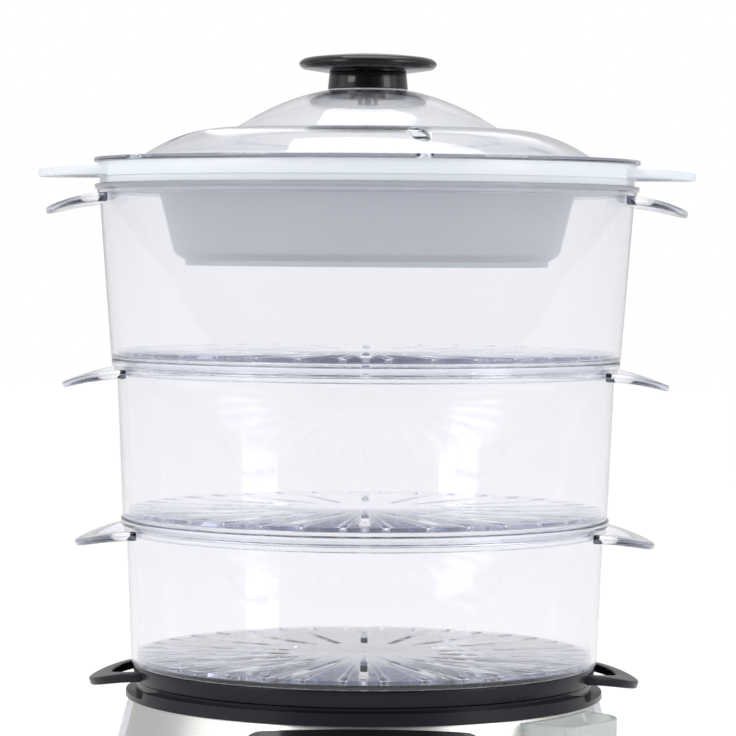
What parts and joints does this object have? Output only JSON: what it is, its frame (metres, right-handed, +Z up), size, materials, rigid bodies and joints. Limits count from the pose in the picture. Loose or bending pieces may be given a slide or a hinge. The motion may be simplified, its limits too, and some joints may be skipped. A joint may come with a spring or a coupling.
{
  "type": "electric food steamer",
  "caption": "Round electric food steamer: flared steel base with panel and water filler, drip tray, three stacked clear baskets, white rice bowl and domed clear lid with a black knob.",
  "frame": {"origin": "middle of the footprint, on the surface that the feet stand on", "axes": "+Z up through the stack, -Y to the front with the control panel, +X to the right-hand handles"},
  "size_m": [0.328, 0.28, 0.412],
  "materials": {
    "silver_plastic": "satin silver",
    "brushed_steel": "brushed",
    "black_satin": "satin",
    "black_plastic": "matt moulded",
    "rubber": "matt",
    "screw_steel": "plated",
    "grey_plastic": "satin moulded",
    "pale_rubber": "matt",
    "heater_alloy": "turned",
    "element_steel": "dull",
    "black_gloss": "polished",
    "display_lens": "polished",
    "display_face": "display",
    "circuit_board": "lacquered",
    "switch_plastic": "moulded",
    "button_face": "satin silver",
    "frosted_plastic": "lightly frosted",
    "clear_plastic": "polished clear",
    "white_plastic": "satin white"
  },
  "bodies": {
    "base": {"base_housing": "silver_plastic", "front_skin": "brushed_steel", "base_collar": "black_satin", "base_cover": "black_plastic", "rubber_feet": "rubber", "cover_screws": "screw_steel", "water_basin": "grey_plastic", "heater_gasket": "pale_rubber", "heater_plate": "heater_alloy", "heating_element": "element_steel", "heater_thermostat": "element_steel", "control_panel": "black_gloss", "display_window": "display_lens", "display_module": "display_face", "control_board": "circuit_board", "button_switches": "switch_plastic", "water_filler": "frosted_plastic", "filler_seal": "rubber", "cord_gland": "rubber"},
    "drip_tray": {"drip_tray": "black_satin", "tray_handles": "black_satin"},
    "bottom_basket": {"bottom_basket": "clear_plastic", "bottom_basket_handles": "clear_plastic", "bottom_basket_floor": "clear_plastic"},
    "middle_basket": {"middle_basket": "clear_plastic", "middle_basket_handles": "clear_plastic", "middle_basket_floor": "clear_plastic"},
    "top_basket": {"top_basket": "clear_plastic", "top_basket_handles": "clear_plastic", "top_basket_floor": "clear_plastic"},
    "rice_bowl": {"rice_bowl": "white_plastic", "bowl_handles": "white_plastic"},
    "lid": {"lid": "clear_plastic", "knob_gasket": "pale_rubber", "knob_stem": "black_gloss", "knob_cap": "black_gloss", "knob_washer": "screw_steel", "knob_screw": "screw_steel"},
    "button_power": {"button_power": "button_face"},
    "button_minus": {"button_minus": "button_face"},
    "button_plus": {"button_plus": "button_face"},
    "button_menu": {"button_menu": "button_face"}
  },
  "joints": [
    {"name": "tray_lift", "type": "slide", "parent": "base", "child": "drip_tray", "axis": [0, 0, 1], "range_m": [0, 0.06]},
    {"name": "bottom_basket_lift", "type": "slide", "parent": "drip_tray", "child": "bottom_basket", "axis": [0, 0, 1], "range_m": [0, 0.09]},
    {"name": "middle_basket_lift", "type": "slide", "parent": "bottom_basket", "child": "middle_basket", "axis": [0, 0, 1], "range_m": [0, 0.1]},
    {"name": "top_basket_lift", "type": "slide", "parent": "middle_basket", "child": "top_basket", "axis": [0, 0, 1], "range_m": [0, 0.1]},
    {"name": "bowl_lift", "type": "slide", "parent": "top_basket", "child": "rice_bowl", "axis": [0, 0, 1], "range_m": [0, 0.08]},
    {"name": "lid_lift", "type": "slide", "parent": "rice_bowl", "child": "lid", "axis": [0, 0, 1], "range_m": [0, 0.09]},
    {"name": "power_press", "type": "slide", "parent": "base", "child": "button_power", "axis": [0, 0.9672, -0.2542], "range_m": [0, 0.001], "stiffness_N_per_m": 400, "springref_m": -0.0006},
    {"name": "minus_press", "type": "slide", "parent": "base", "child": "button_minus", "axis": [0, 0.9672, -0.2542], "range_m": [0, 0.001], "stiffness_N_per_m": 400, "springref_m": -0.0006},
    {"name": "plus_press", "type": "slide", "parent": "base", "child": "button_plus", "axis": [0, 0.9672, -0.2542], "range_m": [0, 0.001], "stiffness_N_per_m": 400, "springref_m": -0.0006},
    {"name": "menu_press", "type": "slide", "parent": "base", "child": "button_menu", "axis": [0, 0.9672, -0.2542], "range_m": [0, 0.001], "stiffness_N_per_m": 400, "springref_m": -0.0006}
  ]
}
